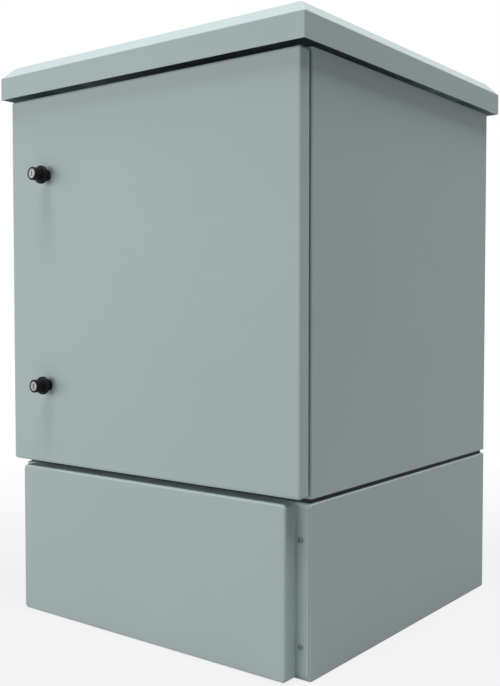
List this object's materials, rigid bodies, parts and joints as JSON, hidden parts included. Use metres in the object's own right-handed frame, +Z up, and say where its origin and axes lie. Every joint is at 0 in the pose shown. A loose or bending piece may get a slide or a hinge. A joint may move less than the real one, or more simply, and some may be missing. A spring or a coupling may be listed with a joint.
{
  "type": "roadside utility cabinet",
  "caption": "Square outdoor equipment cabinet of folded sheet on a plinth, with an overhanging chamfered roof, a hinged front door with key-locked knobs and a removable plinth cover.",
  "frame": {"origin": "centre of the plinth's footprint on the ground, which is the centre of the ground anchor holes", "axes": "+X to the right seen from the front, +Y to the rear, +Z up"},
  "size_m": [0.6276, 0.6563, 0.9283],
  "materials": {
    "grey_paint": "light grey fine powder coat, satin",
    "zinc_steel": "zinc-plated or galvanised steel",
    "black_rubber": "black sealing rubber",
    "black_lock": "black moulded lock body, satin",
    "key_steel": "bright nickel key plug"
  },
  "bodies": {
    "cabinet": {"plinth_side_left": "grey_paint", "plinth_side_right": "grey_paint", "plinth_front_rail": "grey_paint", "plinth_rear_panel": "grey_paint", "plinth_rear_screws": "grey_paint", "plinth_front_cover": "grey_paint", "plinth_cover_screws": "grey_paint", "base_seal": "black_rubber", "plinth_bolts": "zinc_steel", "plinth_nuts": "zinc_steel", "side_wall_left": "grey_paint", "side_wall_right": "grey_paint", "door_header": "grey_paint", "door_sill": "grey_paint", "rear_wall": "grey_paint", "rear_wall_screws": "grey_paint", "floor_plate": "grey_paint", "top_plate": "grey_paint", "gland_plate": "zinc_steel", "gland_screws": "zinc_steel", "cable_grommets": "black_rubber", "floor_earth_stud": "zinc_steel", "roof_cover": "grey_paint", "roof_spacers": "zinc_steel", "roof_screws": "zinc_steel", "depth_bar_lower_left": "zinc_steel", "depth_bar_lower_right": "zinc_steel", "depth_bar_upper_left": "zinc_steel", "depth_bar_upper_right": "zinc_steel", "equipment_rail_left": "zinc_steel", "equipment_rail_right": "zinc_steel", "rail_screws": "zinc_steel", "hinge_arm_lower": "zinc_steel", "hinge_arm_upper": "zinc_steel", "hinge_arm_screws": "zinc_steel"},
    "door": {"door_panel": "grey_paint", "door_seal": "black_rubber", "door_earth_stud": "zinc_steel", "hinge_bracket_lower": "zinc_steel", "hinge_bracket_upper": "zinc_steel", "hinge_pin_lower": "zinc_steel", "hinge_pin_upper": "zinc_steel", "lock_housings": "black_lock", "lock_nuts": "zinc_steel"},
    "upper_lock": {"upper_lock_knob": "black_lock", "upper_lock_cam": "zinc_steel", "upper_cam_nut": "zinc_steel"},
    "upper_key": {"upper_key_plug": "key_steel"},
    "lower_lock": {"lower_lock_knob": "black_lock", "lower_lock_cam": "zinc_steel", "lower_cam_nut": "zinc_steel"},
    "lower_key": {"lower_key_plug": "key_steel"}
  },
  "joints": [
    {"name": "door_hinge", "type": "hinge", "parent": "cabinet", "child": "door", "pos_m": [0.29, -0.3058, 0.56425], "axis": [0, 0, 1], "range_deg": [0, 110]},
    {"name": "upper_lock_turn", "type": "hinge", "parent": "door", "child": "upper_lock", "pos_m": [-0.209, -0.3158, 0.73845], "axis": [0, 1, 0], "range_deg": [0, 90]},
    {"name": "upper_key_turn", "type": "hinge", "parent": "upper_lock", "child": "upper_key", "pos_m": [-0.209, -0.3158, 0.73845], "axis": [0, 1, 0], "range_deg": [0, 90]},
    {"name": "lower_lock_turn", "type": "hinge", "parent": "door", "child": "lower_lock", "pos_m": [-0.209, -0.3158, 0.39005], "axis": [0, 1, 0], "range_deg": [0, 90]},
    {"name": "lower_key_turn", "type": "hinge", "parent": "lower_lock", "child": "lower_key", "pos_m": [-0.209, -0.3158, 0.39005], "axis": [0, 1, 0], "range_deg": [0, 90]}
  ]
}
